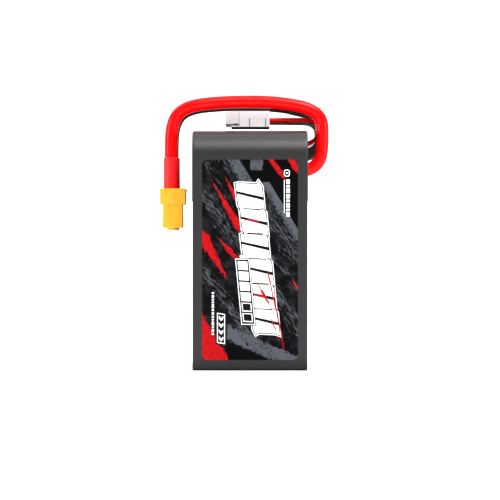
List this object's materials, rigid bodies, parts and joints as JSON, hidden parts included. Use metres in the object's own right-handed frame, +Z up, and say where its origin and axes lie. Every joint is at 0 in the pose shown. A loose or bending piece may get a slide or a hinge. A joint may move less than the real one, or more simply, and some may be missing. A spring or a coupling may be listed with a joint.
{
  "type": "lipo battery pack",
  "caption": "Upright brick battery pack in shrink film with a face label, looped main leads to a power connector and a thin ribbon of balance wires to a small plug.",
  "frame": {"origin": "centre of the pack's footprint on its blind (lower) end; the leads and their plugs are left out of that centre", "axes": "+Z up along the pack from the blind end to the tab end, -Y out of the labelled face, +X out of the side that the leads leave"},
  "size_m": [0.0594, 0.0502, 0.0963],
  "materials": {
    "film": "satin",
    "side_tape": "satin",
    "card": "matt",
    "board": "satin",
    "label": "satin print",
    "rear_label": "satin print",
    "pouch": "satin foil",
    "adhesive": "matt",
    "aluminium_tab": "bright",
    "nickel_tab": "bright",
    "sealant": "waxy",
    "solder": "bright",
    "foam": "matt",
    "red_silicone": "satin",
    "black_silicone": "satin",
    "red_shrink": "satin",
    "black_shrink": "satin",
    "yellow_nylon": "satin",
    "gold": "polished",
    "white_nylon": "satin",
    "tin": "bright",
    "clear_plastic": "clear"
  },
  "bodies": {
    "root": {"film_sleeve": "film", "left_side_tape": "side_tape", "right_side_tape": "side_tape", "left_side_sheet": "card", "right_side_sheet": "card", "front_stiffener": "board", "rear_stiffener": "board", "front_label": "label", "rear_label": "rear_label", "cell_1": "pouch", "cell_2": "pouch", "cell_3": "pouch", "cell_4": "pouch", "cell_5": "pouch", "cell_6": "pouch", "cell_adhesive_sheets": "adhesive", "positive_tabs": "aluminium_tab", "negative_tabs": "nickel_tab", "tab_sealant_strips": "sealant", "balance_board": "board", "tab_solder_beads": "solder", "terminal_strips": "nickel_tab", "balance_solder_posts": "solder", "tab_end_foam": "foam", "positive_lead": "red_silicone", "negative_lead": "black_silicone", "positive_lead_shrink": "red_shrink", "negative_lead_shrink": "black_shrink", "connector_housing": "yellow_nylon", "connector_contacts": "gold", "balance_wire_1": "red_silicone", "balance_wire_2": "black_silicone", "balance_wire_3": "black_silicone", "balance_wire_4": "black_silicone", "balance_wire_5": "black_silicone", "balance_wire_6": "black_silicone", "balance_wire_7": "black_silicone", "balance_plug_housing": "white_nylon", "balance_plug_contacts": "tin", "balance_plug_clip": "clear_plastic"}
  },
  "joints": []
}
